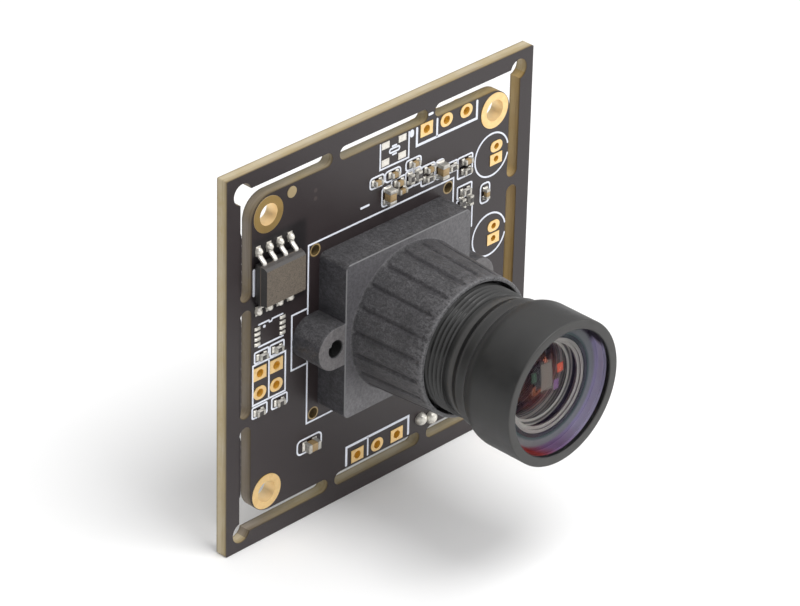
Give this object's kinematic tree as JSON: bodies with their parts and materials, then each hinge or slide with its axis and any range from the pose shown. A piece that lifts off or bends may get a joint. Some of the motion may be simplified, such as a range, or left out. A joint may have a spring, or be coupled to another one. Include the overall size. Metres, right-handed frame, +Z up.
{
  "type": "board camera module",
  "caption": "Square board camera with break-off frame, fluted lens holder and a screw-in focusing lens.",
  "frame": {"origin": "centre of the inner board's four mounting holes on the front face of the board, which is on the optical axis", "axes": "-Y out of the lens, +Z up the board and +X to the right for someone who faces the lens"},
  "size_m": [0.038, 0.0267, 0.038],
  "materials": {
    "solder_mask": "dark brown-grey solder mask, slightly glossy, over tan glass-fibre laminate",
    "gold_plating": "matte immersion gold over copper",
    "tinned_copper": "bright tin",
    "holder_plastic": "dark grey moulded plastic, fine grain",
    "screw_steel": "zinc plated",
    "sensor_ceramic": "matt ceramic",
    "sensor_silicon": "polished, faint colour play",
    "clear_glass": "polished",
    "filter_glass": "pale cyan, coated",
    "lens_glass": "polished, violet anti-reflection coating",
    "barrel_metal": "matt black anodised, turned",
    "ring_metal": "turned, grey",
    "stop_metal": "matt black",
    "chip_moulding": "matt black epoxy moulding",
    "capacitor_ceramic": "tan ceramic",
    "resistor_ceramic": "black glazed top on white ceramic",
    "solder": "bright solder",
    "crystal_lid": "satin nickel",
    "coil_ferrite": "dark grey ferrite",
    "connector_plastic": "ivory nylon"
  },
  "bodies": {
    "root": {"circuit_board": "solder_mask", "mounting_hole_plating": "gold_plating", "pin_hole_plating": "gold_plating", "front_pads": "tinned_copper", "rear_pads": "tinned_copper", "lens_holder": "holder_plastic", "holder_screws": "screw_steel", "sensor_package": "sensor_ceramic", "sensor_die": "sensor_silicon", "sensor_cover_glass": "clear_glass", "infrared_filter": "filter_glass", "flash_memory": "chip_moulding", "flash_memory_leads": "tinned_copper", "front_capacitors": "capacitor_ceramic", "front_capacitor_terminals": "tinned_copper", "front_resistors": "resistor_ceramic", "front_resistor_terminals": "tinned_copper", "solder_blobs": "solder", "image_processor": "chip_moulding", "crystal_base": "sensor_ceramic", "crystal_can": "crystal_lid", "regulators": "chip_moulding", "regulator_leads": "tinned_copper", "power_coil": "coil_ferrite", "coil_terminals": "tinned_copper", "connector_housing": "connector_plastic", "connector_pins": "tinned_copper", "connector_tabs": "tinned_copper", "rear_capacitors": "capacitor_ceramic", "rear_capacitor_terminals": "tinned_copper", "rear_resistors": "resistor_ceramic", "rear_resistor_terminals": "tinned_copper"},
    "lens_optics": {"rear_lens": "lens_glass", "rear_spacer": "stop_metal", "fourth_lens": "lens_glass", "aperture_stop": "stop_metal", "third_lens": "lens_glass", "locking_ring": "ring_metal", "middle_spacer": "ring_metal", "second_lens": "lens_glass", "front_spacer": "ring_metal", "front_lens": "lens_glass"},
    "lens_barrel": {"lens_barrel": "barrel_metal"}
  },
  "joints": [
    {"name": "focus_travel", "type": "slide", "parent": "root", "child": "lens_optics", "axis": [0, -1, 0], "range_m": [-0.0015, 0.002]},
    {"name": "focus_turn", "type": "hinge", "parent": "lens_optics", "child": "lens_barrel", "pos_m": [0, 0, 0], "axis": [0, -1, 0], "range_deg": [-1080, 1440]}
  ],
  "couplings": [
    {"joint": "focus_travel", "follows": "focus_turn", "m_per_rad": 0.000079577}
  ]
}
